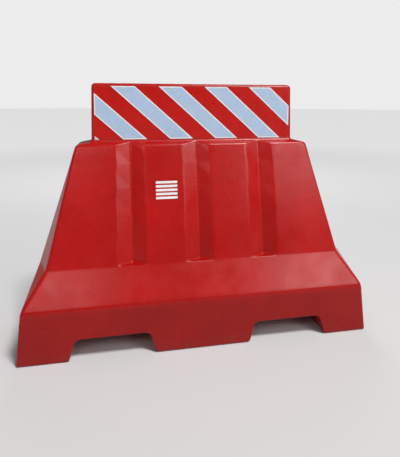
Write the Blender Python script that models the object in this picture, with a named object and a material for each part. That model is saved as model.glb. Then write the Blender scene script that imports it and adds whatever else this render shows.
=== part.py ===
"""Water filled barrier: a hollow moulded road barrier with two screwed plugs and striped sheeting.

Units are metres and +Z is up.  The origin is the centre of the footprint on the ground, the
barrier's length runs along X, and its front looks towards -Y.  The front and the back are alike.
"""
import math

import bmesh
import bpy
from mathutils import Vector

# --- General ---------------------------------------------------------------------------------
GAP = 0.0003                    # clearance left between two pieces that touch
WALL = 0.006                    # thickness of the moulded wall
MERGE = 0.00001                 # points closer than this are one point
OVERRUN = 0.02                  # how far a cutter runs past the surface that it cuts

# --- Moulded body: half lengths along X, half depths along Y ---------------------------------
HEIGHT = 0.930
FOOT_HALF_LENGTH = 0.625
FOOT_HALF_DEPTH = 0.250
BASE_HEIGHT = 0.180             # top of the upright base wall
BASE_HALF_LENGTH = 0.605
BASE_HALF_DEPTH = 0.248
FOLD_HEIGHT = 0.294             # where the ledge meets the sloped body
FOLD_HALF_LENGTH = 0.531
FOLD_HALF_DEPTH = 0.182
BODY_HEIGHT = 0.707             # top of the sloped body
BODY_HALF_LENGTH = 0.434
BODY_HALF_DEPTH = 0.080
PANEL_FOOT_HEIGHT = 0.719       # where the shoulder meets the upstand panel
PANEL_FOOT_HALF_LENGTH = 0.380
PANEL_TOP_HALF_LENGTH = 0.375
PANEL_HALF_DEPTH = 0.059
KEEL_HALF_DEPTH = 0.070         # flat strip up the middle of each end
EDGE_RADIUS = 0.008
EDGE_STEPS = 2
SOFT_EDGE_ANGLE = math.radians(11)
END_WALL = 1.1 * WALL           # the leaning end walls, measured level
KEEL_WALL = 0.4 * WALL          # how much narrower the keel strip is inside

# --- V-grooves in both long faces ------------------------------------------------------------
GROOVE_PITCH = 0.242
GROOVE_HALF_WIDTH = 0.051
GROOVE_FOOT_DEPTH = 0.028
GROOVE_TOP_DEPTH = 0.013
GROOVE_MOUTH = 0.010            # how far the cutting wedge stands out of the face
GROOVE_STEPS = 5                # the flanks twist a little, so they are made in steps
GROOVE_BACKING = 1.2            # wall behind a leaning flank, measured square to the face

# --- Forklift slots through the base ---------------------------------------------------------
SLOT_CENTRE = 0.3125
SLOT_HALF_WIDTH = 0.1445        # at the ground
SLOT_ROOF_HALF_WIDTH = 0.1235
SLOT_HEIGHT = 0.074
SLOT_ROOF_RADIUS = 0.020
SLOT_FOOT_RADIUS = 0.016
SLOT_ARC_STEPS = 4
SLOT_CLEARANCE = 0.0005         # the slot's cutter starts this far below the ground

# --- Recesses that hold the plugs ------------------------------------------------------------
WELL_RADIUS = 0.044
WELL_DEPTH = 0.034
RECESS_RADIUS = 0.028
RECESS_FLOOR_X = 0.594
RECESS_HEIGHT = 0.062
WELL_SIDES = 40

# --- Screwed plugs: sizes are measured from the seat, outwards positive ----------------------
FILL = {
    "name": "fill",
    "place": (0.0, 0.0, HEIGHT - WELL_DEPTH),
    "turn": (0.0, 0.0, 0.0),
    "sides": 32,
    "pitch": 0.005,
    "thread_radius": 0.020,
    "thread_depth": 0.0016,
    "barrel_radius": 0.026,
    "barrel_length": 0.022,
    "flange_radius": 0.034,
    "gasket_radius": 0.029,
    "head_radius": 0.031,
    "head_height": 0.009,
    "grip": (0.050, 0.011, 0.011),
}
DRAIN = {
    "name": "drain",
    "place": (RECESS_FLOOR_X, 0.0, RECESS_HEIGHT),
    "turn": (0.0, math.pi / 2, 0.0),
    "sides": 24,
    "pitch": 0.004,
    "thread_radius": 0.011,
    "thread_depth": 0.0012,
    "barrel_radius": 0.016,
    "barrel_length": 0.018,
    "flange_radius": 0.021,
    "gasket_radius": 0.0175,
    "head_radius": 0.019,
    "head_height": 0.007,
    "grip": (0.030, 0.008, 0.008),
}
FLANGE_HEIGHT = 0.003
GASKET_HEIGHT = 0.0024
GASKET_BORE_MARGIN = 0.0015     # gasket bore over the plug's thread radius
COUNTERBORE_MARGIN = 0.0010
GRIP_RIB_DEPTH = 0.0010
GRIP_TAPER = 0.86               # top of the turning bar against its foot
GRIP_BEVEL = 0.0018
HEAD_BEVEL = 0.0025
CHAMFER = 0.001
SHARP_ANGLE = math.radians(35)

# --- Retroreflective sheeting on both faces of the panel -------------------------------------
SHEET_HALF_LENGTH = 0.367
SHEET_BOTTOM = 0.726
SHEET_TOP = 0.919
SHEET_THICKNESS = 0.0006
STRIPE_COUNT = 5                # whole stripes; the lower corner holds the tip of one more
STRIPE_PITCH = 0.171
STRIPE_WIDTH = 0.0855           # measured along X
STRIPE_SLANT = 1.103            # distance along X for each unit of drop
STRIPE_START = -0.2666          # foot of the first stripe's left edge

# --- Plain label on the front face -----------------------------------------------------------
LABEL_SIZE = (0.090, 0.070)
LABEL_CENTRE = (-0.116, 0.545)  # X and Z
LABEL_RADIUS = 0.005
LABEL_THICKNESS = 0.0006


# ---------------------------------------------------------------------------------------------
# Helpers
# ---------------------------------------------------------------------------------------------
def clear_scene():
    for item in list(bpy.data.objects):
        bpy.data.objects.remove(item, do_unlink=True)


def make_material(name, colour, roughness, metallic=0.0):
    material = bpy.data.materials.new(name)
    material.use_nodes = True
    shader = material.node_tree.nodes["Principled BSDF"]
    shader.inputs["Base Color"].default_value = (*colour, 1.0)
    shader.inputs["Roughness"].default_value = roughness
    shader.inputs["Metallic"].default_value = metallic
    return material


def add_object(name, mesh, material=None):
    item = bpy.data.objects.new(name, mesh)
    bpy.context.collection.objects.link(item)
    if material:
        mesh.materials.append(material)
    return item


def mesh_from(bm, name):
    """Close off a bmesh: merge equal points, turn the faces outwards and keep it as a mesh."""
    bmesh.ops.remove_doubles(bm, verts=bm.verts, dist=MERGE)
    bmesh.ops.recalc_face_normals(bm, faces=bm.faces)
    mesh = bpy.data.meshes.new(name)
    bm.to_mesh(mesh)
    bm.free()
    return mesh


def shade_round(mesh):
    mesh.shade_smooth()
    mesh.set_sharp_from_angle(angle=SHARP_ANGLE)


def combine(item, cutter, operation="DIFFERENCE"):
    """Cut a body with another one, or join them; the other one is only a guide."""
    modifier = item.modifiers.new(f"{operation.lower()} {cutter.name}", "BOOLEAN")
    modifier.operation = operation
    modifier.solver = "EXACT"
    modifier.object = cutter
    cutter.hide_render = True
    cutter.display_type = "WIRE"


def add_prism(bm, outline, start, end, place):
    """Add a closed prism: a flat outline swept from start to end, each point put in by place."""
    first = [bm.verts.new(place(u, v, start)) for u, v in outline]
    last = [bm.verts.new(place(u, v, end)) for u, v in outline]
    bm.faces.new(first)
    bm.faces.new(list(reversed(last)))
    count = len(outline)
    for index in range(count):
        following = (index + 1) % count
        bm.faces.new((first[index], last[index], last[following], first[following]))


def along_y(u, v, y):
    return (u, y, v)


def add_cylinder(bm, centre, radius, start, end, place, sides=WELL_SIDES):
    outline = []
    for side in range(sides):
        turn = 2 * math.pi * side / sides
        outline.append((centre[0] + radius * math.cos(turn), centre[1] + radius * math.sin(turn)))
    add_prism(bm, outline, start, end, place)


def fillet_outline(corners, steps):
    """Round the corners of a closed outline; each corner is (u, v, radius)."""
    points = []
    count = len(corners)
    for index, (u, v, radius) in enumerate(corners):
        corner = Vector((u, v))
        if radius == 0:
            points.append((u, v))
            continue
        before = (Vector(corners[index - 1][:2]) - corner).normalized()
        after = (Vector(corners[(index + 1) % count][:2]) - corner).normalized()
        half_angle = before.angle(after) / 2
        centre = corner + (before + after).normalized() * radius / math.sin(half_angle)
        reach = radius / math.tan(half_angle)
        start = corner + before * reach - centre
        sweep = start.angle_signed(corner + after * reach - centre)
        for step in range(steps + 1):
            turn = -sweep * step / steps
            point = centre + Vector((start.x * math.cos(turn) - start.y * math.sin(turn),
                                     start.x * math.sin(turn) + start.y * math.cos(turn)))
            points.append((point.x, point.y))
    return points


# ---------------------------------------------------------------------------------------------
# Moulded body
# ---------------------------------------------------------------------------------------------
def profile_levels():
    """The body's corners from the ground up: height, half length and half depth at the corners,
    then half length and half depth of the keel strip at the ends."""
    rise = (FOLD_HEIGHT - BASE_HEIGHT) / (BODY_HEIGHT - BASE_HEIGHT)
    fold_keel = BASE_HALF_LENGTH + (BODY_HALF_LENGTH - BASE_HALF_LENGTH) * rise
    return [
        (0.0, FOOT_HALF_LENGTH, FOOT_HALF_DEPTH, FOOT_HALF_LENGTH, KEEL_HALF_DEPTH),
        (BASE_HEIGHT, BASE_HALF_LENGTH, BASE_HALF_DEPTH, BASE_HALF_LENGTH, KEEL_HALF_DEPTH),
        (FOLD_HEIGHT, FOLD_HALF_LENGTH, FOLD_HALF_DEPTH, fold_keel, KEEL_HALF_DEPTH),
        (BODY_HEIGHT, BODY_HALF_LENGTH, BODY_HALF_DEPTH, BODY_HALF_LENGTH, BODY_HALF_DEPTH / 2),
        (PANEL_FOOT_HEIGHT, PANEL_FOOT_HALF_LENGTH, PANEL_HALF_DEPTH, PANEL_FOOT_HALF_LENGTH,
         PANEL_HALF_DEPTH / 2),
        (HEIGHT, PANEL_TOP_HALF_LENGTH, PANEL_HALF_DEPTH, PANEL_TOP_HALF_LENGTH, PANEL_HALF_DEPTH / 2),
    ]


def inset_profile(points, inset):
    """Move an open outline of (half depth, height) points inwards, square to each stretch."""
    normals = []
    for (y0, z0), (y1, z1) in zip(points, points[1:]):
        normals.append(Vector((z1 - z0, y0 - y1)).normalized())
    normals = [Vector((0, -1)), *normals, Vector((0, 1))]
    moved = []
    for (y, z), below, above in zip(points, normals, normals[1:]):
        scale = inset / (1 + below.dot(above))
        moved.append((y - (below.x + above.x) * scale, z - (below.y + above.y) * scale))
    return moved


def cavity_levels():
    """The same corners for the hollow inside, one wall thickness in."""
    levels = profile_levels()
    moved = inset_profile([(level[2], level[0]) for level in levels], WALL)
    inner = []
    for (y, z), (_, corner_x, _, keel_x, keel_y) in zip(moved, levels):
        inner.append((z, corner_x - END_WALL, y, keel_x - END_WALL, keel_y - KEEL_WALL))
    return inner


def add_loft(bm, levels):
    """Loft eight-cornered rings; the flanks beside each keel are folded along one diagonal."""
    rings = []
    for z, corner_x, corner_y, keel_x, keel_y in levels:
        plan = [(-corner_x, -corner_y), (corner_x, -corner_y), (keel_x, -keel_y), (keel_x, keel_y),
                (corner_x, corner_y), (-corner_x, corner_y), (-keel_x, keel_y), (-keel_x, -keel_y)]
        rings.append([bm.verts.new((x, y, z)) for x, y in plan])
    bm.faces.new(list(reversed(rings[0])))
    bm.faces.new(rings[-1])
    for number, (lower, upper) in enumerate(zip(rings, rings[1:])):
        widening_fold = number == 1
        for side in range(8):
            after = (side + 1) % 8
            flank = side in (1, 3, 5, 7)
            folded = flank and number in (1, 2)
            if not folded:
                bm.faces.new((lower[side], lower[after], upper[after], upper[side]))
                continue
            corner_first = side in (1, 5)
            if corner_first == widening_fold:
                bm.faces.new((lower[side], lower[after], upper[after]))
                bm.faces.new((lower[side], upper[after], upper[side]))
            else:
                bm.faces.new((lower[side], lower[after], upper[side]))
                bm.faces.new((lower[after], upper[after], upper[side]))


def round_edges(bm, radius, steps):
    bmesh.ops.recalc_face_normals(bm, faces=bm.faces)
    edges = [edge for edge in bm.edges if abs(edge.calc_face_angle_signed(0.0)) > SOFT_EDGE_ANGLE]
    bmesh.ops.bevel(bm, geom=edges, offset=radius, segments=steps, profile=0.5, affect="EDGES",
                    clamp_overlap=True)


def face_depth(z):
    """Half depth of the sloped body face at a height."""
    rise = (z - FOLD_HEIGHT) / (BODY_HEIGHT - FOLD_HEIGHT)
    return FOLD_HALF_DEPTH + (BODY_HALF_DEPTH - FOLD_HALF_DEPTH) * rise


def add_groove(bm, centre, side, backing):
    """Add a V-shaped wedge; backing widens it so that a wall is left behind the groove."""
    foot = FOLD_HEIGHT - backing
    top = BODY_HEIGHT + OVERRUN
    rings = []
    for step in range(GROOVE_STEPS + 1):
        share = step / GROOVE_STEPS
        z = foot + (top - foot) * share
        crease = GROOVE_FOOT_DEPTH + (GROOVE_TOP_DEPTH - GROOVE_FOOT_DEPTH) * share
        crease += GROOVE_BACKING * backing
        mouth_half_width = (GROOVE_HALF_WIDTH + backing) * (crease + GROOVE_MOUTH) / crease
        mouth = side * (face_depth(z) + GROOVE_MOUTH)
        rings.append([bm.verts.new((centre - mouth_half_width, mouth, z)),
                      bm.verts.new((centre + mouth_half_width, mouth, z)),
                      bm.verts.new((centre, side * (face_depth(z) - crease), z))])
    bm.faces.new(rings[0])
    bm.faces.new(list(reversed(rings[-1])))
    for lower, upper in zip(rings, rings[1:]):
        for index in range(3):
            after = (index + 1) % 3
            bm.faces.new((lower[index], upper[index], upper[after], lower[after]))


def groove_mesh(name, backing):
    bm = bmesh.new()
    for side in (-1, 1):
        for step in (-1, 0, 1):
            add_groove(bm, step * GROOVE_PITCH, side, backing)
    return mesh_from(bm, name)


def slot_outline(backing):
    foot = -backing - SLOT_CLEARANCE
    foot_half = SLOT_HALF_WIDTH + backing
    roof_half = SLOT_ROOF_HALF_WIDTH + backing
    roof = SLOT_HEIGHT + backing
    below = -OVERRUN
    return [
        (-foot_half - OVERRUN, below, 0), (foot_half + OVERRUN, below, 0), (foot_half + OVERRUN, foot, 0),
        (foot_half, foot, SLOT_FOOT_RADIUS), (roof_half, roof, SLOT_ROOF_RADIUS),
        (-roof_half, roof, SLOT_ROOF_RADIUS), (-foot_half, foot, SLOT_FOOT_RADIUS),
        (-foot_half - OVERRUN, foot, 0),
    ]


def slot_mesh(name, backing):
    outline = fillet_outline(slot_outline(backing), SLOT_ARC_STEPS)
    reach = FOOT_HALF_DEPTH + OVERRUN
    bm = bmesh.new()
    for side in (-1, 1):
        shifted = [(u + side * SLOT_CENTRE, v) for u, v in outline]
        add_prism(bm, shifted, -reach, reach, along_y)
    return mesh_from(bm, name)


def well_mesh(name, backing):
    """The round well in the panel's top and the round recess in the base's end."""
    bm = bmesh.new()
    add_cylinder(bm, (0, 0), WELL_RADIUS + backing, HEIGHT - WELL_DEPTH - backing, HEIGHT + OVERRUN,
                 lambda u, v, z: (u, v, z))
    add_cylinder(bm, (0, RECESS_HEIGHT), RECESS_RADIUS + backing, RECESS_FLOOR_X - backing,
                 FOOT_HALF_LENGTH + OVERRUN, lambda u, v, x: (x, u, v))
    return mesh_from(bm, name)


def hole_mesh(name):
    """The holes in the floors of the well and the recess, where the threaded inserts sit."""
    bm = bmesh.new()
    floor = HEIGHT - WELL_DEPTH
    add_cylinder(bm, (0, 0), FILL["barrel_radius"] + GAP, floor - 2 * WALL, floor + WALL,
                 lambda u, v, z: (u, v, z), FILL["sides"])
    add_cylinder(bm, (0, RECESS_HEIGHT), DRAIN["barrel_radius"] + GAP, RECESS_FLOOR_X - 2 * WALL,
                 RECESS_FLOOR_X + WALL, lambda u, v, x: (x, u, v), DRAIN["sides"])
    return mesh_from(bm, name)


def build_cavity():
    bm = bmesh.new()
    add_loft(bm, cavity_levels())
    cavity = add_object("cavity", mesh_from(bm, "cavity"))
    combine(cavity, add_object("groove_backing", groove_mesh("groove_backing", WALL)))
    combine(cavity, add_object("slot_backing", slot_mesh("slot_backing", WALL)))
    combine(cavity, add_object("well_backing", well_mesh("well_backing", WALL)))
    return cavity


def build_body():
    bm = bmesh.new()
    add_loft(bm, profile_levels())
    round_edges(bm, EDGE_RADIUS, EDGE_STEPS)
    mesh = mesh_from(bm, "barrier_body")
    plastic = make_material("red_polyethylene", (0.52, 0.012, 0.010), 0.38)
    body = add_object("barrier_body", mesh, plastic)
    combine(body, add_object("groove_cutter", groove_mesh("groove_cutter", 0.0)))
    combine(body, add_object("slot_cutter", slot_mesh("slot_cutter", 0.0)))
    combine(body, add_object("well_cutter", well_mesh("well_cutter", 0.0)))
    combine(body, build_cavity())
    combine(body, add_object("hole_cutter", hole_mesh("hole_cutter")))
    return body


# ---------------------------------------------------------------------------------------------
# Screwed plugs
# ---------------------------------------------------------------------------------------------
def thread_rows(turn, pitch, low, high, ridge, valley, end):
    """Points (radius, height) up a helical thread at one angle; both ends run out at one radius.

    The rows climb by one pitch in a full turn and repeat every four rows: flank, crest, flank, root.
    """
    quarter = pitch / 4
    start = math.floor(low / pitch - 2) * pitch
    count = math.ceil((high - start) / quarter) + 2
    rows = []
    for row in range(count):
        z = start + row * quarter + pitch * turn / (2 * math.pi)
        if z <= low + MERGE or z >= high - MERGE:
            rows.append((end, min(max(z, low), high)))
        else:
            rows.append((ridge if row % 4 in (1, 2) else valley, z))
    return rows


def turned_mesh(name, sides, before, rows_at, after, closed):
    """Turn a profile about Z: fixed points, then the thread's rows, then more fixed points."""
    columns = []
    for side in range(sides):
        turn = 2 * math.pi * side / sides
        points = [*before(side), *rows_at(turn), *after(side)]
        columns.append([(radius * math.cos(turn), radius * math.sin(turn), z) for radius, z in points])
    first_row = len(before(0))
    last_row = first_row + len(rows_at(0.0)) - 1

    def seam(row):
        return min(row + 4, last_row) if first_row <= row <= last_row else row

    bm = bmesh.new()
    grid = [[bm.verts.new(point) for point in column] for column in columns]
    total = len(columns[0])
    for side in range(sides):
        here = grid[side]
        there = grid[(side + 1) % sides]
        wrap = seam if side == sides - 1 else (lambda row: row)
        for row in range(total if closed else total - 1):
            above = (row + 1) % total
            corners = (here[row], there[wrap(row)], there[wrap(above)], here[above])
            if len(set(corners)) == 4:
                bm.faces.new(corners)
            elif len(set(corners)) == 3:
                bm.faces.new(tuple(dict.fromkeys(corners)))
    mesh = mesh_from(bm, name)
    shade_round(mesh)
    return mesh


def insert_mesh(size):
    """Threaded insert: a flanged barrel with a thread cut inside."""
    low = -size["barrel_length"]
    floor = GAP
    top = GAP + FLANGE_HEIGHT
    major = size["thread_radius"] + GAP
    minor = major - size["thread_depth"]

    def rows_at(turn):
        return thread_rows(turn, size["pitch"], low + CHAMFER, top - 2 * CHAMFER, major, minor, major)

    def after(_):
        return [(major + COUNTERBORE_MARGIN, top - CHAMFER), (major + COUNTERBORE_MARGIN, top),
                (size["flange_radius"], top), (size["flange_radius"], floor),
                (size["barrel_radius"], floor), (size["barrel_radius"], low), (major + CHAMFER, low)]

    return turned_mesh(size["name"] + "_insert", size["sides"], lambda _: [], rows_at, after, True)


def gasket_mesh(size):
    """Flat ring seal with rounded inner and outer edges."""
    low = GAP + FLANGE_HEIGHT + GAP
    high = low + GASKET_HEIGHT
    bore = size["thread_radius"] + GASKET_BORE_MARGIN
    rim = size["gasket_radius"]
    edge = GASKET_HEIGHT / 3
    outline = [(bore + edge, low), (rim - edge, low), (rim, low + edge), (rim, high - edge),
               (rim - edge, high), (bore + edge, high), (bore, high - edge), (bore, low + edge)]
    return turned_mesh(size["name"] + "_gasket", size["sides"], lambda _: outline, lambda _: [],
                       lambda _: [], True)


def plug_mesh(size):
    """Screw plug: threaded shank below a ribbed round head."""
    head_low = 3 * GAP + FLANGE_HEIGHT + GASKET_HEIGHT
    head_high = head_low + size["head_height"]
    major = size["thread_radius"]
    minor = major - size["thread_depth"]
    tip = -size["barrel_length"] + 2 * CHAMFER

    def before(_):
        return [(0.0, tip), (minor - CHAMFER, tip)]

    def rows_at(turn):
        return thread_rows(turn, size["pitch"], tip + CHAMFER, -2 * CHAMFER, major, minor, minor)

    def after(side):
        rib = GRIP_RIB_DEPTH if side % 4 >= 2 else 0.0
        rim = size["head_radius"] - rib
        return [(minor, head_low), (rim - CHAMFER, head_low), (rim, head_low + CHAMFER),
                (rim, head_high - 2 * CHAMFER), (size["head_radius"] - HEAD_BEVEL, head_high),
                (0.0, head_high)]

    return turned_mesh(size["name"] + "_plug", size["sides"], before, rows_at, after, False)


def add_grip(size, plug):
    """Raised bar across the plug's head, to turn it by."""
    length, width, height = size["grip"]
    seat = 3 * GAP + FLANGE_HEIGHT + GASKET_HEIGHT + size["head_height"]
    bm = bmesh.new()
    bmesh.ops.create_cube(bm, size=1.0)
    for vert in bm.verts:
        taper = GRIP_TAPER if vert.co.z > 0 else 1.0
        vert.co.x *= length * taper
        vert.co.y *= width * taper
        vert.co.z = seat + height if vert.co.z > 0 else seat - 2 * CHAMFER
    sides = [edge for edge in bm.edges if any(vert.co.z > seat for vert in edge.verts)]
    bmesh.ops.bevel(bm, geom=sides, offset=GRIP_BEVEL, segments=2, profile=0.5, affect="EDGES")
    grip = add_object(size["name"] + "_grip", mesh_from(bm, size["name"] + "_grip"))
    grip.location = size["place"]
    grip.rotation_euler = size["turn"]
    combine(plug, grip, "UNION")


def build_plug_set(size, insert_material, gasket_material, plug_material):
    pieces = (
        ("insert", insert_mesh(size), insert_material),
        ("gasket", gasket_mesh(size), gasket_material),
        ("plug", plug_mesh(size), plug_material),
    )
    for part, mesh, material in pieces:
        item = add_object(f"{size['name']}_{part}", mesh, material)
        item.location = size["place"]
        item.rotation_euler = size["turn"]
        if part == "plug":
            add_grip(size, item)


# ---------------------------------------------------------------------------------------------
# Sheeting and label
# ---------------------------------------------------------------------------------------------
def clip_outline(outline, axis, limit, keep_above):
    """Keep the part of a convex outline on one side of a line across one axis."""
    sign = 1 if keep_above else -1
    kept = []
    for index, point in enumerate(outline):
        previous = outline[index - 1]
        inside = sign * (point[axis] - limit) >= 0
        was_inside = sign * (previous[axis] - limit) >= 0
        if inside != was_inside:
            share = (limit - previous[axis]) / (point[axis] - previous[axis])
            kept.append(tuple(a + (b - a) * share for a, b in zip(previous, point)))
        if inside:
            kept.append(point)
    return kept


def stripe_outline(number):
    """One slanted stripe, cut off by the sheet's own edges; number -1 is the corner's tip."""
    left = STRIPE_START + number * STRIPE_PITCH
    run = (SHEET_TOP - SHEET_BOTTOM) * STRIPE_SLANT
    outline = [(left, SHEET_BOTTOM), (left + STRIPE_WIDTH, SHEET_BOTTOM),
               (left + STRIPE_WIDTH - run, SHEET_TOP), (left - run, SHEET_TOP)]
    outline = clip_outline(outline, 0, -SHEET_HALF_LENGTH, True)
    return clip_outline(outline, 0, SHEET_HALF_LENGTH, False)


def build_sheeting(side_name, turn, red, white):
    """Red sheet with white stripes on it; turn is 0 for the front and half a turn for the back."""
    ends = SHEET_HALF_LENGTH
    sheet = [(-ends, SHEET_BOTTOM), (ends, SHEET_BOTTOM), (ends, SHEET_TOP), (-ends, SHEET_TOP)]
    layers = [(f"{side_name}_red_sheeting", sheet, 0, red),
              (f"{side_name}_white_corner", stripe_outline(-1), 1, white)]
    for number in range(STRIPE_COUNT):
        layers.append((f"{side_name}_white_stripe_{number + 1}", stripe_outline(number), 1, white))
    for name, outline, layer, material in layers:
        back = -PANEL_HALF_DEPTH - GAP - layer * (SHEET_THICKNESS + GAP)
        bm = bmesh.new()
        add_prism(bm, outline, back, back - SHEET_THICKNESS, along_y)
        item = add_object(name, mesh_from(bm, name), material)
        item.rotation_euler = (0.0, 0.0, turn)


def build_label():
    """Plain rounded label, lying on the sloped front face between two grooves."""
    half_width = LABEL_SIZE[0] / 2
    half_height = LABEL_SIZE[1] / 2
    corners = [(-half_width, -half_height, LABEL_RADIUS), (half_width, -half_height, LABEL_RADIUS),
               (half_width, half_height, LABEL_RADIUS), (-half_width, half_height, LABEL_RADIUS)]
    bm = bmesh.new()
    add_prism(bm, fillet_outline(corners, SLOT_ARC_STEPS), -GAP, -GAP - LABEL_THICKNESS, along_y)
    film = make_material("label_film", (0.62, 0.64, 0.66), 0.35)
    label = add_object("label_plate", mesh_from(bm, "label_plate"), film)
    centre_x, centre_z = LABEL_CENTRE
    label.location = (centre_x, -face_depth(centre_z), centre_z)
    lean = math.atan2(FOLD_HALF_DEPTH - BODY_HALF_DEPTH, BODY_HEIGHT - FOLD_HEIGHT)
    label.rotation_euler = (-lean, 0.0, 0.0)


def main():
    clear_scene()
    build_body()
    brass = make_material("insert_brass", (0.62, 0.44, 0.18), 0.35, 1.0)
    rubber = make_material("gasket_rubber", (0.03, 0.03, 0.03), 0.8)
    black_plastic = make_material("plug_plastic", (0.04, 0.04, 0.045), 0.45)
    build_plug_set(FILL, brass, rubber, black_plastic)
    build_plug_set(DRAIN, brass, rubber, black_plastic)
    red = make_material("red_sheeting", (0.60, 0.02, 0.005), 0.3)
    white = make_material("white_sheeting", (0.50, 0.62, 0.78), 0.3)
    build_sheeting("front", 0.0, red, white)
    build_sheeting("back", math.pi, red, white)
    build_label()


main()
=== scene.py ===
"""Looks of the water filled barrier: moulded skin, striped sheeting, label and screwed plugs.

Units are metres and +Z is up, as in the frame: the barrier's length runs along X and its front looks
towards -Y.  The skin is one closed surface that stands for the hollow CAD body.
"""
import math

import bmesh
import bpy
from mathutils import Matrix, Vector, noise


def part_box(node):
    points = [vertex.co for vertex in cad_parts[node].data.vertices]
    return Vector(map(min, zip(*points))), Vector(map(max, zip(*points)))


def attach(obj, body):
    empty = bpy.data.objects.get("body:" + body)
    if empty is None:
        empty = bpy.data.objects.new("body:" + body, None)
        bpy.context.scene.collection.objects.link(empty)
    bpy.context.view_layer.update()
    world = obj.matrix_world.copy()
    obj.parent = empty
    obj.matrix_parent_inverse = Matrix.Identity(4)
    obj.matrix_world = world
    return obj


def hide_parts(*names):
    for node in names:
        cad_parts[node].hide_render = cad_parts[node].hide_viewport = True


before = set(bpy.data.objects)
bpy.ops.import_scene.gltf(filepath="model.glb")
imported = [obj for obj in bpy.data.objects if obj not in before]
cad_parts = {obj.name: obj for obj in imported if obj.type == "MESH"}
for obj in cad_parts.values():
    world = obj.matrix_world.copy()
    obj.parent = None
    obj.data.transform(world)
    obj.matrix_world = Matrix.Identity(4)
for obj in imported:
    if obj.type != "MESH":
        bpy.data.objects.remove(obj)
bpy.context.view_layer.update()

# --- Sizes read from the frame ---------------------------------------------------------------
LABEL_LOW, LABEL_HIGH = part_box("label_plate")
FILL_LOW, FILL_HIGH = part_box("fill_insert")
DRAIN_LOW, DRAIN_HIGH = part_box("drain_insert")

GAP = 0.0003                    # clearance that the frame keeps between touching pieces
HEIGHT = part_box("barrier_body")[1].z
PANEL_HALF_DEPTH = -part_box("front_red_sheeting")[1].y - GAP
FLANGE_HEIGHT = 0.003           # an insert's flange, above the floor that it sits on
WELL_FLOOR = FILL_HIGH.z - FLANGE_HEIGHT - GAP
RECESS_FLOOR = DRAIN_HIGH.x - FLANGE_HEIGHT - GAP
RECESS_HEIGHT = (DRAIN_LOW.z + DRAIN_HIGH.z) / 2

# --- Moulded body: half lengths along X, half depths along Y ---------------------------------
FOOT = (0.625, 0.250)
BASE_HEIGHT = 0.180             # top of the upright base wall
BASE = (0.605, 0.248)
FOLD_HEIGHT = 0.294             # where the ledge meets the sloped body
FOLD = (0.531, 0.182)
BODY_HEIGHT = 0.707             # top of the sloped body
BODY = (0.434, 0.080)
PANEL_FOOT_HEIGHT = 0.719
PANEL_FOOT = (0.380, PANEL_HALF_DEPTH)
PANEL_TOP = (0.375, PANEL_HALF_DEPTH)
KEEL_HALF_DEPTH = 0.070         # flat strip up the middle of each end
EDGE_RADIUS = 0.006
EDGE_STEPS = 3
PANEL_CORNER_RADIUS = 0.013     # the panel's upper corners, seen from the front
PANEL_CORNER_STEPS = 5
ROUNDED_FOLD = math.radians(22)  # folds sharper than this are rounded

GROOVE_PITCH = 0.242
GROOVE_HALF_WIDTH = 0.051
GROOVE_FOOT_DEPTH = 0.028
GROOVE_TOP_DEPTH = 0.013
GROOVE_MOUTH = 0.010            # how far the cutting wedge stands out of the face
GROOVE_STEPS = 5

SLOT_CENTRE = 0.3125
SLOT_HALF_WIDTH = 0.1445
SLOT_ROOF_HALF_WIDTH = 0.1235
SLOT_HEIGHT = 0.074
SLOT_ROOF_RADIUS = 0.020
SLOT_FOOT_RADIUS = 0.016

WELL_RADIUS = 0.044
RECESS_RADIUS = 0.028
BARREL_CLEARANCE = 0.0015       # room round an insert's barrel
FILL_BARREL_RADIUS = 0.026
DRAIN_BARREL_RADIUS = 0.016
OVERRUN = 0.02                  # how far a cutter runs past the surface that it cuts

# --- Softness of the moulding ----------------------------------------------------------------
SKIN_CELL = 0.0035              # size of the skin's faces
SKIN_SMOOTHING = 4              # passes that round every edge
WAVE_DEPTH = 0.0012             # how far the broad faces sink between high spots
WAVE_SIZE = 0.22
CALM_BAND = 0.03                # the faces stay flat this near the ground and above the grooves

# --- Fineness of round shapes ----------------------------------------------------------------
ROUND_STEPS = 10                # steps in a rounded corner
CIRCLE_SIDES = 64
MERGE_DISTANCE = 0.00001


# ---------------------------------------------------------------------------------------------
# Helpers
# ---------------------------------------------------------------------------------------------
def add_object(name, mesh, *materials):
    item = bpy.data.objects.new(name, mesh)
    bpy.context.collection.objects.link(item)
    for material in materials:
        mesh.materials.append(material)
    return item


def mesh_from(bm, name):
    bmesh.ops.remove_doubles(bm, verts=bm.verts, dist=MERGE_DISTANCE)
    bmesh.ops.recalc_face_normals(bm, faces=bm.faces)
    mesh = bpy.data.meshes.new(name)
    bm.to_mesh(mesh)
    bm.free()
    return mesh


def apply_modifiers(item):
    """Turn the object's mesh into what its modifiers make of it."""
    graph = bpy.context.evaluated_depsgraph_get()
    mesh = bpy.data.meshes.new_from_object(item.evaluated_get(graph))
    item.modifiers.clear()
    item.data = mesh


def add_prism(bm, outline, start, end, place):
    """Add a closed prism: a flat outline swept from start to end, each point put in by place."""
    first = [bm.verts.new(place(u, v, start)) for u, v in outline]
    last = [bm.verts.new(place(u, v, end)) for u, v in outline]
    bm.faces.new(first)
    bm.faces.new(list(reversed(last)))
    count = len(outline)
    for index in range(count):
        following = (index + 1) % count
        bm.faces.new((first[index], last[index], last[following], first[following]))


def circle(centre, radius):
    turns = [2 * math.pi * side / CIRCLE_SIDES for side in range(CIRCLE_SIDES)]
    return [(centre[0] + radius * math.cos(turn), centre[1] + radius * math.sin(turn)) for turn in turns]


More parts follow.
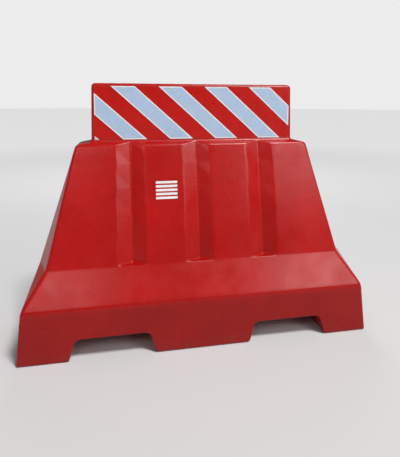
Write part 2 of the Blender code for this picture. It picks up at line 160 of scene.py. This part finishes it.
def fillet_outline(corners, steps=ROUND_STEPS):
    """Round the corners of a closed outline; each corner is (u, v, radius)."""
    points = []
    count = len(corners)
    for index, (u, v, radius) in enumerate(corners):
        corner = Vector((u, v))
        if radius == 0:
            points.append((u, v))
            continue
        before = (Vector(corners[index - 1][:2]) - corner).normalized()
        after = (Vector(corners[(index + 1) % count][:2]) - corner).normalized()
        half_angle = before.angle(after) / 2
        centre = corner + (before + after).normalized() * radius / math.sin(half_angle)
        reach = radius / math.tan(half_angle)
        start = corner + before * reach - centre
        sweep = start.angle_signed(corner + after * reach - centre)
        for step in range(steps + 1):
            turn = -sweep * step / steps
            point = centre + Matrix.Rotation(turn, 2) @ start
            points.append((point.x, point.y))
    return points


# ---------------------------------------------------------------------------------------------
# Materials
# ---------------------------------------------------------------------------------------------
class NodeBoard:
    """A material's node tree, with a short call for each kind of node used here.

    The colour and roughness given at the start are plain averages, for a viewer without textures.
    """

    def __init__(self, name, colour, roughness, **constants):
        self.material = bpy.data.materials.new(name)
        self.material.use_nodes = True
        self.tree = self.material.node_tree
        self.shader = self.tree.nodes["Principled BSDF"]
        self.shader.inputs["Base Color"].default_value = (*colour, 1.0)
        self.shader.inputs["Roughness"].default_value = roughness
        for socket, value in constants.items():
            self.shader.inputs[socket.replace("_", " ")].default_value = value
        self.place = self.node("ShaderNodeTexCoord").outputs["Object"]

    def node(self, kind, **settings):
        node = self.tree.nodes.new(kind)
        for key, value in settings.items():
            setattr(node, key, value)
        return node

    def feed(self, socket, value):
        if isinstance(value, bpy.types.NodeSocket):
            self.tree.links.new(value, socket)
        else:
            socket.default_value = value

    def stretched(self, scale):
        node = self.node("ShaderNodeMapping")
        self.feed(node.inputs["Vector"], self.place)
        node.inputs["Scale"].default_value = scale
        return node.outputs["Vector"]

    def noise(self, scale, detail=3.0, roughness=0.5, vector=None):
        node = self.node("ShaderNodeTexNoise")
        self.feed(node.inputs["Vector"], vector or self.place)
        node.inputs["Scale"].default_value = scale
        node.inputs["Detail"].default_value = detail
        node.inputs["Roughness"].default_value = roughness
        return node.outputs["Fac"]

    def cells(self, scale, vector):
        """Distance to the nearest wall between cells."""
        node = self.node("ShaderNodeTexVoronoi", feature="DISTANCE_TO_EDGE")
        self.feed(node.inputs["Vector"], vector)
        node.inputs["Scale"].default_value = scale
        return node.outputs["Distance"]

    def rescale(self, value, low, high, to_low=0.0, to_high=1.0):
        node = self.node("ShaderNodeMapRange")
        self.feed(node.inputs["Value"], value)
        numbers = {"From Min": low, "From Max": high, "To Min": to_low, "To Max": to_high}
        for socket, number in numbers.items():
            node.inputs[socket].default_value = number
        return node.outputs["Result"]

    def math(self, operation, first, second):
        node = self.node("ShaderNodeMath", operation=operation)
        self.feed(node.inputs[0], first)
        self.feed(node.inputs[1], second)
        return node.outputs[0]

    def blend(self, share, first, second):
        node = self.node("ShaderNodeMix", data_type="RGBA")
        self.feed(node.inputs["Factor"], share)
        for letter, colour in (("A", first), ("B", second)):
            is_socket = isinstance(colour, bpy.types.NodeSocket)
            self.feed(node.inputs[letter], colour if is_socket else (*colour, 1.0))
        return node.outputs["Result"]

    def part(self, axis):
        node = self.node("ShaderNodeSeparateXYZ")
        self.feed(node.inputs[0], self.place)
        return node.outputs[axis]

    def colour(self, socket):
        self.feed(self.shader.inputs["Base Color"], socket)

    def rough(self, socket):
        self.feed(self.shader.inputs["Roughness"], socket)

    def bump(self, height, distance, strength=1.0):
        node = self.node("ShaderNodeBump")
        node.inputs["Strength"].default_value = strength
        node.inputs["Distance"].default_value = distance
        self.feed(node.inputs["Height"], height)
        if self.shader.inputs["Normal"].is_linked:
            self.feed(node.inputs["Normal"], self.shader.inputs["Normal"].links[0].from_socket)
        self.feed(self.shader.inputs["Normal"], node.outputs["Normal"])


WEAR_HEIGHTS = (0.02, 0.22)     # rub marks are thickest below the first, thin above the second
BASE_SHADE_EDGE = 0.02                # the base wall's painted shade fades this far either side of its top
SPLASH_HEIGHT = 0.045           # road dirt clings below this


def red_polyethylene():
    """Semi-gloss moulded polyethylene: cloudy colour, soft orange peel, rub marks, road dirt and painted
    shade that darkens the base wall.
    """
    board = NodeBoard("red_polyethylene", (0.50, 0.007, 0.005), 0.34, Specular_IOR_Level=0.28)
    height = board.part("Z")
    clouds = board.rescale(board.noise(4.0, 4.0), 0.35, 0.65)
    red = board.blend(clouds, (0.37, 0.004, 0.003), (0.44, 0.006, 0.005))
    streaks = board.noise(9.0, 5.0, 0.6, board.stretched((1.0, 1.0, 0.12)))
    red = board.blend(board.rescale(streaks, 0.55, 0.75, 0.0, 0.25), red, (0.33, 0.003, 0.002))
    rubs = board.noise(30.0, 8.0, 0.75, board.stretched((0.25, 1.0, 2.2)))
    rub_mask = board.rescale(rubs, 0.64, 0.72)
    low_down = board.rescale(height, WEAR_HEIGHTS[1], WEAR_HEIGHTS[0])
    wear = board.math("ADD", 0.10, board.math("MULTIPLY", low_down, 0.35))
    rub_mask = board.math("MULTIPLY", rub_mask, wear)
    red = board.blend(rub_mask, red, (0.62, 0.12, 0.10))
    # painted shade: below its top edge the base wall is painted a darker red, mottled in strength
    film = board.math("MULTIPLY", board.rescale(height, BASE_HEIGHT + BASE_SHADE_EDGE, BASE_HEIGHT - BASE_SHADE_EDGE),
                      board.rescale(board.noise(7.0, 5.0, 0.6), 0.25, 0.6, 0.55, 0.95))
    red = board.blend(film, red, (0.26, 0.003, 0.002))
    dirt = board.math("MULTIPLY", board.rescale(board.noise(22.0, 6.0, 0.7), 0.4, 0.75),
                      board.rescale(height, SPLASH_HEIGHT, 0.0, 0.0, 0.55))
    board.colour(board.blend(dirt, red, (0.10, 0.045, 0.035)))
    gloss = board.rescale(board.noise(14.0, 5.0, 0.6), 0.3, 0.7, 0.22, 0.34)
    board.rough(board.math("ADD", gloss, board.math("MULTIPLY", rub_mask, 0.4)))
    board.bump(board.noise(260.0, 2.0), 0.00025, 0.5)
    board.bump(board.noise(38.0, 3.0), 0.0010, 0.35)
    board.bump(rubs, 0.0004, 0.25)
    return board.material


def sheeting(name, field, edge, cell_shade):
    """Retroreflective film: a field of small sealed cells."""
    board = NodeBoard(name, field, 0.30, Specular_IOR_Level=0.22, Coat_Weight=0.08, Coat_Roughness=0.12)
    across = board.stretched((1.0, 0.0, 1.0))
    walls = board.rescale(board.cells(190.0, across), 0.0, 0.10, 1.0, 0.0)
    tone = board.blend(board.rescale(board.noise(18.0, 4.0), 0.3, 0.7), field, cell_shade)
    board.colour(board.blend(board.math("MULTIPLY", walls, 0.55), tone, edge))
    board.rough(board.rescale(board.noise(60.0, 3.0), 0.3, 0.7, 0.22, 0.38))
    board.bump(walls, 0.0001, 0.6)
    board.bump(board.noise(25.0, 2.0), 0.0006, 0.3)
    return board.material


def plain_film(name, colour):
    """Film without cells, lightly mottled: a sheet's sealed rim or a print."""
    board = NodeBoard(name, colour, 0.35, Specular_IOR_Level=0.4)
    darker = [part * 0.86 for part in colour]
    board.colour(board.blend(board.rescale(board.noise(90.0, 4.0), 0.35, 0.7), colour, darker))
    board.rough(board.rescale(board.noise(40.0), 0.3, 0.7, 0.28, 0.45))
    return board.material


def black_plastic():
    board = NodeBoard("plug_plastic", (0.03, 0.03, 0.033), 0.45)
    board.colour(board.blend(board.noise(60.0, 6.0), (0.022, 0.022, 0.024), (0.055, 0.055, 0.058)))
    board.rough(board.rescale(board.noise(160.0, 4.0), 0.3, 0.7, 0.36, 0.56))
    board.bump(board.noise(900.0, 2.0), 0.0001, 0.6)
    return board.material


def rubber():
    board = NodeBoard("gasket_rubber", (0.02, 0.02, 0.02), 0.8)
    board.colour(board.blend(board.noise(120.0, 5.0), (0.014, 0.014, 0.014), (0.045, 0.043, 0.04)))
    board.rough(board.rescale(board.noise(300.0), 0.3, 0.7, 0.68, 0.88))
    board.bump(board.noise(1200.0), 0.00008, 0.6)
    return board.material


def brass():
    board = NodeBoard("insert_brass", (0.60, 0.40, 0.16), 0.35, Metallic=1.0)
    board.colour(board.blend(board.noise(45.0, 6.0, 0.65), (0.66, 0.46, 0.20), (0.36, 0.24, 0.11)))
    turned = board.noise(220.0, 2.0, 0.5, board.stretched((0.4, 0.4, 4.0)))
    board.rough(board.rescale(turned, 0.3, 0.7, 0.24, 0.46))
    board.bump(turned, 0.00008, 0.5)
    return board.material


# ---------------------------------------------------------------------------------------------
# Moulded skin
# ---------------------------------------------------------------------------------------------
def profile_levels():
    """Height, half length and half depth at the corners, half length and half depth of the keel."""
    rise = (FOLD_HEIGHT - BASE_HEIGHT) / (BODY_HEIGHT - BASE_HEIGHT)
    fold_keel = BASE[0] + (BODY[0] - BASE[0]) * rise
    return [
        (0.0, *FOOT, FOOT[0], KEEL_HALF_DEPTH),
        (BASE_HEIGHT, *BASE, BASE[0], KEEL_HALF_DEPTH),
        (FOLD_HEIGHT, *FOLD, fold_keel, KEEL_HALF_DEPTH),
        (BODY_HEIGHT, *BODY, BODY[0], BODY[1] / 2),
        (PANEL_FOOT_HEIGHT, *PANEL_FOOT, PANEL_FOOT[0], PANEL_HALF_DEPTH / 2),
        (HEIGHT, *PANEL_TOP, PANEL_TOP[0], PANEL_HALF_DEPTH / 2),
    ]


def at_panel_end(vert):
    return abs(vert.co.x) > PANEL_TOP[0] - GAP and vert.co.z > HEIGHT - GAP


def loft_mesh():
    """Eight-cornered rings; the flanks beside each keel are folded along one diagonal.

    Odd sides are flanks. They fold in stretch 1, the ledge, and stretch 2, the sloped body.
    """
    bm = bmesh.new()
    rings = []
    for z, corner_x, corner_y, keel_x, keel_y in profile_levels():
        plan = [(-corner_x, -corner_y), (corner_x, -corner_y), (keel_x, -keel_y), (keel_x, keel_y),
                (corner_x, corner_y), (-corner_x, corner_y), (-keel_x, keel_y), (-keel_x, -keel_y)]
        rings.append([bm.verts.new((x, y, z)) for x, y in plan])
    bm.faces.new(list(reversed(rings[0])))
    bm.faces.new(rings[-1])
    for number, (lower, upper) in enumerate(zip(rings, rings[1:])):
        for side in range(8):
            after = (side + 1) % 8
            folded = side % 2 == 1 and number in (1, 2)
            if not folded:
                bm.faces.new((lower[side], lower[after], upper[after], upper[side]))
            elif (side in (1, 5)) == (number == 1):
                bm.faces.new((lower[side], lower[after], upper[after]))
                bm.faces.new((lower[side], upper[after], upper[side]))
            else:
                bm.faces.new((lower[side], lower[after], upper[side]))
                bm.faces.new((lower[after], upper[after], upper[side]))
    bmesh.ops.recalc_face_normals(bm, faces=bm.faces)
    top_ends = [edge for edge in bm.edges if all(at_panel_end(vert) for vert in edge.verts)]
    bmesh.ops.bevel(bm, geom=top_ends, offset=PANEL_CORNER_RADIUS, segments=PANEL_CORNER_STEPS,
                    profile=0.5, affect="EDGES")
    bm.normal_update()
    edges = [edge for edge in bm.edges if abs(edge.calc_face_angle_signed(0.0)) > ROUNDED_FOLD]
    bmesh.ops.bevel(bm, geom=edges, offset=EDGE_RADIUS, segments=EDGE_STEPS, profile=0.5, affect="EDGES",
                    clamp_overlap=True)
    return mesh_from(bm, "skin_loft")


def face_depth(z):
    """Half depth of the sloped body face at a height."""
    rise = (z - FOLD_HEIGHT) / (BODY_HEIGHT - FOLD_HEIGHT)
    return FOLD[1] + (BODY[1] - FOLD[1]) * rise


def add_groove(bm, centre, side):
    """Add the wedge that cuts one groove, deepest at its foot; its flanks twist, so it rises in steps."""
    top = BODY_HEIGHT + OVERRUN
    rings = []
    for step in range(GROOVE_STEPS + 1):
        share = step / GROOVE_STEPS
        z = FOLD_HEIGHT + (top - FOLD_HEIGHT) * share
        crease = GROOVE_FOOT_DEPTH + (GROOVE_TOP_DEPTH - GROOVE_FOOT_DEPTH) * share
        half_width = GROOVE_HALF_WIDTH * (crease + GROOVE_MOUTH) / crease
        mouth = side * (face_depth(z) + GROOVE_MOUTH)
        rings.append([bm.verts.new((centre - half_width, mouth, z)),
                      bm.verts.new((centre + half_width, mouth, z)),
                      bm.verts.new((centre, side * (face_depth(z) - crease), z))])
    bm.faces.new(rings[0])
    bm.faces.new(list(reversed(rings[-1])))
    for lower, upper in zip(rings, rings[1:]):
        for index in range(3):
            after = (index + 1) % 3
            bm.faces.new((lower[index], upper[index], upper[after], lower[after]))


def groove_cutter():
    bm = bmesh.new()
    for side in (-1, 1):
        for step in (-1, 0, 1):
            add_groove(bm, step * GROOVE_PITCH, side)
    return mesh_from(bm, "groove_cutter")


def slot_cutter():
    outline = fillet_outline([
        (-SLOT_HALF_WIDTH - OVERRUN, -OVERRUN, 0), (SLOT_HALF_WIDTH + OVERRUN, -OVERRUN, 0),
        (SLOT_HALF_WIDTH + OVERRUN, -GAP, 0), (SLOT_HALF_WIDTH, -GAP, SLOT_FOOT_RADIUS),
        (SLOT_ROOF_HALF_WIDTH, SLOT_HEIGHT, SLOT_ROOF_RADIUS),
        (-SLOT_ROOF_HALF_WIDTH, SLOT_HEIGHT, SLOT_ROOF_RADIUS),
        (-SLOT_HALF_WIDTH, -GAP, SLOT_FOOT_RADIUS), (-SLOT_HALF_WIDTH - OVERRUN, -GAP, 0),
    ])
    reach = FOOT[1] + OVERRUN
    bm = bmesh.new()
    for side in (-1, 1):
        shifted = [(u + side * SLOT_CENTRE, v) for u, v in outline]
        add_prism(bm, shifted, -reach, reach, lambda u, v, y: (u, y, v))
    return mesh_from(bm, "slot_cutter")


def pocket_cutter(fill_radius, floor_z, drain_radius, floor_x):
    """Round pockets down into the panel's top and into the base's right end."""
    bm = bmesh.new()
    add_prism(bm, circle((0, 0), fill_radius), floor_z, HEIGHT + OVERRUN, lambda u, v, z: (u, v, z))
    add_prism(bm, circle((0, RECESS_HEIGHT), drain_radius), floor_x, FOOT[0] + OVERRUN,
              lambda u, v, x: (x, u, v))
    return mesh_from(bm, "pocket_cutter")


def sink_faces(mesh):
    """Let the broad faces sink a little between high spots, as a cooling moulding does."""
    calm_top = BODY_HEIGHT - CALM_BAND
    places = [vert.co.copy() for vert in mesh.vertices]
    normals = [vert.normal.copy() for vert in mesh.vertices]
    moved = []
    for place, normal in zip(places, normals):
        under_top = min(max((calm_top - place.z) / CALM_BAND, 0.0), 1.0)
        over_ground = min(max(place.z / CALM_BAND, 0.0), 1.0)
        wave = 0.5 + 0.5 * noise.noise(place / WAVE_SIZE)
        moved.extend(place - normal * (WAVE_DEPTH * wave * (under_top * over_ground)))
    mesh.vertices.foreach_set("co", moved)
    mesh.update()


def build_skin(material):
    """Cut the grooves, slots and pockets into the loft, then soften it as a moulding is."""
    skin = add_object("barrier_shell", loft_mesh(), material)
    barrels = pocket_cutter(FILL_BARREL_RADIUS + BARREL_CLEARANCE, FILL_LOW.z - BARREL_CLEARANCE,
                            DRAIN_BARREL_RADIUS + BARREL_CLEARANCE, DRAIN_LOW.x - BARREL_CLEARANCE)
    wells = pocket_cutter(WELL_RADIUS, WELL_FLOOR, RECESS_RADIUS, RECESS_FLOOR)
    cutters = [add_object("cutter", mesh) for mesh in (groove_cutter(), slot_cutter(), wells, barrels)]
    for cutter in cutters:
        cut = skin.modifiers.new("cut", "BOOLEAN")
        cut.operation = "DIFFERENCE"
        cut.solver = "EXACT"
        cut.object = cutter
    remesh = skin.modifiers.new("even faces", "REMESH")
    remesh.mode = "VOXEL"
    remesh.voxel_size = SKIN_CELL
    smooth = skin.modifiers.new("soft edges", "SMOOTH")
    smooth.factor = 0.5
    smooth.iterations = SKIN_SMOOTHING
    apply_modifiers(skin)
    for cutter in cutters:
        bpy.data.objects.remove(cutter, do_unlink=True)
    sink_faces(skin.data)
    skin.data.shade_smooth()
    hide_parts("barrier_body")
    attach(skin, "barrier")


# ---------------------------------------------------------------------------------------------
# Parting line
# ---------------------------------------------------------------------------------------------
RIDGE_HALF_WIDTH = 0.0018
RIDGE_PROUD = 0.0009
RIDGE_ROOT = 0.0030             # how deep its foot is sunk in the skin
RIDGE_SHOULDER = 0.4            # height of its rounded shoulder, as a share of the whole
RIDGE_CROWN = 0.5               # width of its crown, as a share of the whole
LINE_FOOT = 0.02
LINE_FOOT_AT_DRAIN = 0.13       # the right-hand line starts above the drain's recess
BASE_MARGIN = 0.012             # how far the line stops short of the base's top edge
SHOULDER_MARGIN = 0.014
PANEL_MARGIN = 0.016


def ridge_along(bm, route, outward):
    """Sweep a low rounded ridge along points in the plane y = 0; outward gives each point's side."""
    rows = []
    shoulder = RIDGE_PROUD * RIDGE_SHOULDER
    crown = RIDGE_HALF_WIDTH * RIDGE_CROWN
    section = [(-RIDGE_HALF_WIDTH, -RIDGE_ROOT), (-RIDGE_HALF_WIDTH, shoulder), (-crown, RIDGE_PROUD),
               (crown, RIDGE_PROUD), (RIDGE_HALF_WIDTH, shoulder), (RIDGE_HALF_WIDTH, -RIDGE_ROOT)]
    for (x, z), (nx, nz) in zip(route, outward):
        rows.append([bm.verts.new((x + nx * out, y, z + nz * out)) for y, out in section])
    count = len(section)
    for lower, upper in zip(rows, rows[1:]):
        for index in range(count):
            after = (index + 1) % count
            bm.faces.new((lower[index], lower[after], upper[after], upper[index]))
    bm.faces.new(rows[0])
    bm.faces.new(list(reversed(rows[-1])))


def build_parting_line(side, name, material):
    """Witness line of the mould, up the middle of one end."""
    bm = bmesh.new()
    levels = profile_levels()
    foot = LINE_FOOT_AT_DRAIN if side > 0 else LINE_FOOT
    stretches = [(levels[0], levels[1], foot, BASE_HEIGHT - BASE_MARGIN),
                 (levels[1], levels[3], BASE_HEIGHT + BASE_MARGIN, BODY_HEIGHT - SHOULDER_MARGIN),
                 (levels[4], levels[5], PANEL_FOOT_HEIGHT + PANEL_MARGIN, HEIGHT - PANEL_MARGIN)]
    for lower, upper, start, end in stretches:
        low_z, low_x, high_z, high_x = lower[0], lower[3], upper[0], upper[3]
        slope = (high_x - low_x) / (high_z - low_z)
        route = [(side * (low_x + slope * (z - low_z)), z) for z in (start, (start + end) / 2, end)]
        length = math.hypot(1.0, slope)
        ridge_along(bm, route, [(side / length, -slope / length)] * 3)
    line = add_object(name, mesh_from(bm, name), material)
    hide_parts("barrier_body")
    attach(line, "barrier")


# ---------------------------------------------------------------------------------------------
# Sheeting
# ---------------------------------------------------------------------------------------------
STRIPE_RIM = 0.0045
SHEET_RIM = 0.00225
STRIPES = 5
FIELD, RIM = 0, 1               # a film's two materials
FACING_OUT = 0.9                # least outward part of the normal of a film's front face
FLAT_FOLD = math.radians(1)


def film_piece(node_name, field, rim, rim_width):
    """A film of the CAD sheet's own outline, with a sealed rim round its printed field."""
    bm = bmesh.new()
    bm.from_mesh(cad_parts[node_name].data)
    bmesh.ops.remove_doubles(bm, verts=bm.verts, dist=MERGE_DISTANCE)
    bmesh.ops.dissolve_limit(bm, angle_limit=FLAT_FOLD, verts=bm.verts, edges=bm.edges)
    outward = -1.0 if node_name.startswith("front") else 1.0
    faces = [face for face in bm.faces if face.normal.y * outward > FACING_OUT]
    for face in bm.faces:
        face.material_index = RIM
    bmesh.ops.inset_region(bm, faces=faces, thickness=rim_width, depth=0.0, use_even_offset=True)
    for face in faces:
        face.material_index = FIELD
    name = node_name + "_film"
    mesh = bpy.data.meshes.new(name)
    bm.to_mesh(mesh)
    bm.free()
    piece = add_object(name, mesh, field, rim)
    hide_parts(node_name)
    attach(piece, "barrier")


def build_sheeting():
    white = sheeting("white_sheeting", (0.39, 0.515, 0.69), (0.56, 0.65, 0.78), (0.35, 0.47, 0.65))
    white_rim = plain_film("white_sheeting_rim", (0.76, 0.78, 0.81))
    red = sheeting("red_sheeting", (0.52, 0.004, 0.001), (0.38, 0.003, 0.001), (0.45, 0.003, 0.001))
    red_rim = plain_film("red_sheeting_rim", (0.42, 0.006, 0.004))
    for face in ("front", "back"):
        film_piece(f"{face}_red_sheeting", red, red_rim, SHEET_RIM)
        film_piece(f"{face}_white_corner", white, white_rim, SHEET_RIM)
        for number in range(1, STRIPES + 1):
            film_piece(f"{face}_white_stripe_{number}", white, white_rim, STRIPE_RIM)


# ---------------------------------------------------------------------------------------------
# Label and blank pad
# ---------------------------------------------------------------------------------------------
LABEL_LEAN = math.atan2(FOLD[1] - BODY[1], BODY_HEIGHT - FOLD_HEIGHT)
LABEL_THICKNESS = 0.0006
LABEL_CORNER = 0.005
LABEL_CORNER_STEPS = 5
PRINT_HEIGHT = 0.00015          # how far the print stands out of the film
PRINT_CORNER = 0.0012
BACKING, PRINT = 0, 1           # the label's two materials
PRINT_BARS = 5                  # plain bars, all alike, one above the other
BAR_MARGIN = 0.006
BAR_FILL = 0.6                  # share of its row's height that a bar fills


def build_label(plastic):
    """A film in the body's colour, printed with plain bars that say nothing."""
    width = LABEL_HIGH.x - LABEL_LOW.x
    height = (LABEL_HIGH.z - LABEL_LOW.z) / math.cos(LABEL_LEAN)
    bm = bmesh.new()

    def panel(left, bottom, right, top, corner, back, front, index):
        outline = fillet_outline([(left, bottom, corner), (right, bottom, corner), (right, top, corner),
                                  (left, top, corner)], LABEL_CORNER_STEPS)
        before = set(bm.faces)
        add_prism(bm, outline, back, front, lambda u, v, y: (u, y, v))
        for face in set(bm.faces) - before:
            face.material_index = index

    front_face = -GAP - LABEL_THICKNESS
    panel(-width / 2, -height / 2, width / 2, height / 2, LABEL_CORNER, -GAP, front_face + PRINT_HEIGHT,
          BACKING)
    row = height / PRINT_BARS
    for number in range(PRINT_BARS):
        bottom = -height / 2 + row * (number + (1 - BAR_FILL) / 2)
        panel(-width / 2 + BAR_MARGIN, bottom, width / 2 - BAR_MARGIN, bottom + row * BAR_FILL, PRINT_CORNER,
              -GAP - LABEL_THICKNESS / 2, front_face, PRINT)
    bmesh.ops.recalc_face_normals(bm, faces=bm.faces)
    centre = (LABEL_LOW + LABEL_HIGH) / 2
    bm.transform(Matrix.Translation((centre.x, -face_depth(centre.z), centre.z))
                 @ Matrix.Rotation(-LABEL_LEAN, 4, "X"))
    mesh = bpy.data.meshes.new("label_film")
    bm.to_mesh(mesh)
    bm.free()
    white = plain_film("label_print", (0.84, 0.83, 0.84))
    label = add_object("label_film", mesh, plastic, white)
    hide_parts("label_plate")
    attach(label, "barrier")


PAD_CENTRE = (-0.5315, 0.1015)
PAD_SIZE = (0.067, 0.053)
PAD_PROUD = 0.0005
PAD_ROOT = 0.004                # how deep it is sunk in the skin
PAD_CORNER = 0.006
PAD_CORNER_STEPS = 6
PAD_BEVEL = PAD_PROUD * 0.8


def build_pad(plastic):
    """Faint blank raised pad, moulded on the left foot of the front."""
    half_width, half_height = PAD_SIZE[0] / 2, PAD_SIZE[1] / 2
    corners = [(-half_width, -half_height), (half_width, -half_height),
               (half_width, half_height), (-half_width, half_height)]
    outline = fillet_outline([(u, v, PAD_CORNER) for u, v in corners], PAD_CORNER_STEPS)
    bm = bmesh.new()
    add_prism(bm, outline, PAD_ROOT, -PAD_PROUD, lambda u, v, y: (u, y, v))
    rim = [edge for edge in bm.edges if all(vert.co.y < 0 for vert in edge.verts)]
    bmesh.ops.bevel(bm, geom=rim, offset=PAD_BEVEL, segments=2, profile=0.5, affect="EDGES")
    slope = (FOOT[1] - BASE[1]) / BASE_HEIGHT
    bm.transform(Matrix.Translation((PAD_CENTRE[0], -FOOT[1] + slope * PAD_CENTRE[1], PAD_CENTRE[1]))
                 @ Matrix.Rotation(-math.atan(slope), 4, "X"))
    pad = add_object("foot_pad", mesh_from(bm, "foot_pad"), plastic)
    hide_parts("barrier_body")
    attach(pad, "barrier")


# ---------------------------------------------------------------------------------------------
# Stage: floor, lights, camera
# ---------------------------------------------------------------------------------------------
CAMERA_PLACE = (-0.2537, -1.6613, 0.8730)
CAMERA_YAW = math.radians(11.584)       # turned to the right
CAMERA_PITCH = math.radians(6.713)      # looking down
CAMERA_ROLL = math.radians(0.248)
CAMERA_LENS = 33.951
CAMERA_SHIFT = (-0.0328, -0.1718)

FLOOR_RADIUS = 40.0
NEAR_FLOOR = (0.68, 0.68, 0.68)
FAR_FLOOR_PAINTED_LIGHT = (0.95, 0.95, 0.95)  # painted light: paler far off, where only the sun reaches and the lamps fall short
PAINTED_LIGHT_FADE = (2.0, 7.0)         # distances between which the near floor turns into the paler, painted far floor
ROOM_LIGHT = 0.16
BACKDROP = (0.84, 0.84, 0.84, 1.0)


def build_floor():
    board = NodeBoard("pale_floor", NEAR_FLOOR, 0.85, Specular_IOR_Level=0.2)
    distance = board.node("ShaderNodeVectorMath", operation="LENGTH")
    board.feed(distance.inputs[0], board.place)
    # painted light: the floor grows paler with distance, making up for the lamps' falloff
    far = board.rescale(distance.outputs["Value"], *PAINTED_LIGHT_FADE)
    board.colour(board.blend(far, NEAR_FLOOR, FAR_FLOOR_PAINTED_LIGHT))
    mesh = bpy.data.meshes.new("floor")
    bm = bmesh.new()
    bmesh.ops.create_circle(bm, cap_ends=True, segments=96, radius=FLOOR_RADIUS)
    bm.to_mesh(mesh)
    bm.free()
    floor = add_object("floor", mesh, board.material)


def aim(lamp, place, target):
    item = bpy.data.objects.new(lamp.name, lamp)
    bpy.context.collection.objects.link(item)
    item.location = place
    item.rotation_euler = (Vector(target) - Vector(place)).to_track_quat("-Z", "Y").to_euler()


def add_area_light(name, place, target, size, power):
    lamp = bpy.data.lights.new(name, "AREA")
    lamp.shape = "RECTANGLE"
    lamp.size, lamp.size_y = size
    lamp.energy = power
    aim(lamp, place, target)


def add_sun(name, place, target, strength, softness):
    lamp = bpy.data.lights.new(name, "SUN")
    lamp.energy = strength
    lamp.angle = softness
    aim(lamp, place, target)


def build_world():
    """Weak white light from all round, with a pale backdrop that only the camera sees."""
    world = bpy.data.worlds.new("studio")
    world.use_nodes = True
    bpy.context.scene.world = world
    tree = world.node_tree
    lighting = tree.nodes["Background"]
    lighting.inputs["Color"].default_value = (1.0, 1.0, 1.0, 1.0)
    lighting.inputs["Strength"].default_value = ROOM_LIGHT
    seen = tree.nodes.new("ShaderNodeBackground")
    seen.inputs["Color"].default_value = BACKDROP
    path = tree.nodes.new("ShaderNodeLightPath")
    mix = tree.nodes.new("ShaderNodeMixShader")
    tree.links.new(path.outputs["Is Camera Ray"], mix.inputs["Fac"])
    tree.links.new(lighting.outputs["Background"], mix.inputs[1])
    tree.links.new(seen.outputs["Background"], mix.inputs[2])
    tree.links.new(mix.outputs["Shader"], tree.nodes["World Output"].inputs["Surface"])


def build_lights():
    middle = (0.0, 0.0, 0.4)
    add_sun("key", (1.1, -1.45, 3.4), middle, 2.4, math.radians(12))
    add_area_light("ledge_right", (1.74, -2.5, 1.98), (0.4, -0.2, 0.25), (1.0, 0.8), 15)
    add_area_light("ledge_left", (-0.95, -2.5, 2.0), (-0.4, -0.2, 0.25), (0.7, 0.7), 8)
    add_area_light("front_right", (2.2, -3.4, 1.9), (0.3, 0.0, 0.6), (1.8, 1.2), 17)
    add_area_light("rear", (0.4, 3.2, 2.6), middle, (2.4, 1.6), 34)


def build_camera():
    data = bpy.data.cameras.new("camera")
    data.sensor_fit = "AUTO"
    data.sensor_width = 36.0
    data.lens = CAMERA_LENS
    data.shift_x, data.shift_y = CAMERA_SHIFT
    camera = bpy.data.objects.new("camera", data)
    bpy.context.collection.objects.link(camera)
    turn = (Matrix.Rotation(-CAMERA_YAW, 4, "Z")
            @ Matrix.Rotation(math.pi / 2 - CAMERA_PITCH, 4, "X")
            @ Matrix.Rotation(CAMERA_ROLL, 4, "Z"))
    camera.matrix_world = Matrix.Translation(CAMERA_PLACE) @ turn
    bpy.context.scene.camera = camera


# ---------------------------------------------------------------------------------------------
# Everything together
# ---------------------------------------------------------------------------------------------
def finish_cad_nodes():
    """Give the screwed fittings, which keep their CAD shape, their materials."""
    finishes = {"insert": brass(), "gasket": rubber(), "plug": black_plastic()}
    for place in ("fill", "drain"):
        for part, material in finishes.items():
            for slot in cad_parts[f"{place}_{part}"].material_slots:
                slot.material = material


def main():
    plastic = red_polyethylene()
    build_skin(plastic)
    build_parting_line(-1, "parting_line_left", plastic)
    build_parting_line(1, "parting_line_right", plastic)
    build_pad(plastic)
    build_sheeting()
    build_label(plastic)
    finish_cad_nodes()
    build_floor()
    build_world()
    build_lights()
    build_camera()
    bpy.context.scene.view_settings.view_transform = "Standard"


main()
